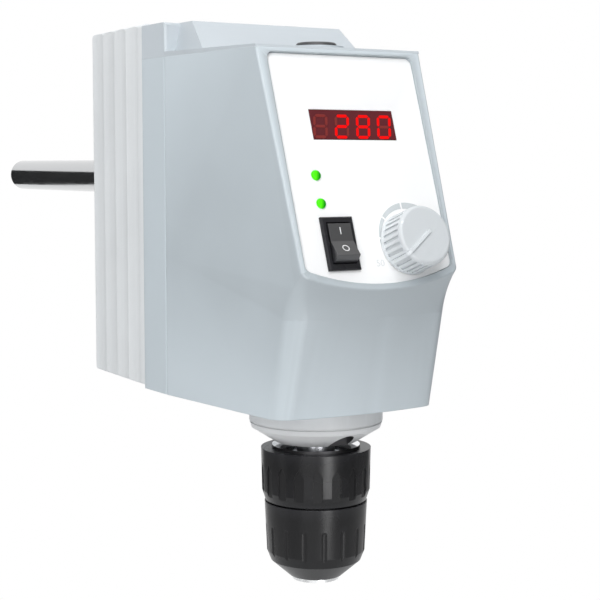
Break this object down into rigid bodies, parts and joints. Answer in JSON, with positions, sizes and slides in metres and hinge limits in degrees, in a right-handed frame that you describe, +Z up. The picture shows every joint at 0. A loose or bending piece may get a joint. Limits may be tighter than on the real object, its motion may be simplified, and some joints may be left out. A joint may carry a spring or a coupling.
{
  "type": "overhead stirrer",
  "caption": "Laboratory stirring motor with a hollow spindle, keyless chuck, leaning control panel with display, rocker and knob, and a rear support rod.",
  "frame": {"origin": "on the spindle axis at the chuck's mouth", "axes": "+Z up along the spindle, -Y towards the user, +X to the user's right, +Y along the support rod"},
  "size_m": [0.083, 0.3676, 0.22],
  "materials": {
    "housing_plastic": "fine-grained pale grey moulding",
    "casting_paint": "pale grey powder coat on cast aluminium",
    "panel_film": "satin white film",
    "smoked_window": "smoked clear window",
    "lamp_lens": "green lens",
    "black_plastic": "black moulding",
    "knob_plastic": "white moulding",
    "rocker_plastic": "semi-gloss black",
    "collar_paint": "pale grey coat",
    "chrome": "bright",
    "steel": "machined",
    "zinc": "plain",
    "magnet": "dull",
    "winding": "enamelled copper",
    "contact": "tinned",
    "board": "solder mask",
    "rubber": "matt"
  },
  "bodies": {
    "housing": {"front_housing": "housing_plastic", "mid_frame": "housing_plastic", "top_cover": "housing_plastic", "rear_housing": "casting_paint", "control_panel": "panel_film", "display_window": "smoked_window", "overload_led": "lamp_lens", "power_led": "lamp_lens", "display_module": "black_plastic", "switch_frame": "black_plastic", "inlet_socket": "black_plastic", "capacitors": "black_plastic", "power_transistors": "black_plastic", "bearing_collar": "collar_paint", "support_rod": "chrome", "upper_bearing_outer": "steel", "lower_bearing_outer": "steel", "bearing_balls": "steel", "pot_nut": "steel", "rod_bolt": "steel", "case_screws": "steel", "board_screws": "steel", "motor_screws": "steel", "collar_screws": "steel", "stator_core": "steel", "motor_bracket": "zinc", "motor_housing": "zinc", "board_pillars": "zinc", "board_standoffs": "zinc", "potentiometer": "zinc", "stator_coils": "winding", "switch_terminals": "contact", "inlet_pins": "contact", "display_board": "board", "driver_board": "board", "hall_board": "board", "shaft_seal": "rubber", "heat_pad": "rubber"},
    "spindle": {"spindle": "steel", "spindle_circlip": "steel", "upper_bearing_inner": "steel", "lower_bearing_inner": "steel", "rotor_core": "steel", "rotor_magnets": "magnet", "chuck_body": "chrome", "chuck_rear_sleeve": "black_plastic", "chuck_nose_ring": "chrome"},
    "chuck_sleeve": {"chuck_front_sleeve": "black_plastic", "chuck_nut": "steel", "thrust_washer": "steel"},
    "jaw_1": {"jaw_1": "steel"},
    "jaw_2": {"jaw_2": "steel"},
    "jaw_3": {"jaw_3": "steel"},
    "knob": {"speed_knob": "knob_plastic", "pot_shaft": "steel"},
    "rocker": {"switch_rocker": "rocker_plastic"},
    "cap": {"top_cap": "housing_plastic"}
  },
  "joints": [
    {"name": "spindle_turn", "type": "hinge", "parent": "housing", "child": "spindle", "pos_m": [0, 0, 0.09], "axis": [0, 0, 1], "continuous": true},
    {"name": "chuck_sleeve_turn", "type": "hinge", "parent": "spindle", "child": "chuck_sleeve", "pos_m": [0, 0, 0.02], "axis": [0, 0, 1], "range_deg": [0, 2505]},
    {"name": "jaw_1_slide", "type": "slide", "parent": "spindle", "child": "jaw_1", "axis": [0, 0.2588, -0.9659], "range_m": [0, 0.0174]},
    {"name": "jaw_2_slide", "type": "slide", "parent": "spindle", "child": "jaw_2", "axis": [-0.2241, -0.1294, -0.9659], "range_m": [0, 0.0174]},
    {"name": "jaw_3_slide", "type": "slide", "parent": "spindle", "child": "jaw_3", "axis": [0.2241, -0.1294, -0.9659], "range_m": [0, 0.0174]},
    {"name": "speed_knob_turn", "type": "hinge", "parent": "housing", "child": "knob", "pos_m": [0.01419, -0.04189, 0.13387], "axis": [0, 0.9438, -0.3305], "range_deg": [-4, 296]},
    {"name": "power_rocker", "type": "hinge", "parent": "housing", "child": "rocker", "pos_m": [-0.01549, -0.04046, 0.13432], "axis": [1, 0, 0], "range_deg": [0, 26]},
    {"name": "top_cap_lift", "type": "slide", "parent": "housing", "child": "cap", "axis": [0, 0, 1], "range_m": [0, 0.012]}
  ],
  "couplings": [
    {"joint": "jaw_1_slide", "follows": "chuck_sleeve_turn", "m_per_rad": 0.00039789},
    {"joint": "jaw_2_slide", "follows": "chuck_sleeve_turn", "m_per_rad": 0.00039789},
    {"joint": "jaw_3_slide", "follows": "chuck_sleeve_turn", "m_per_rad": 0.00039789}
  ]
}
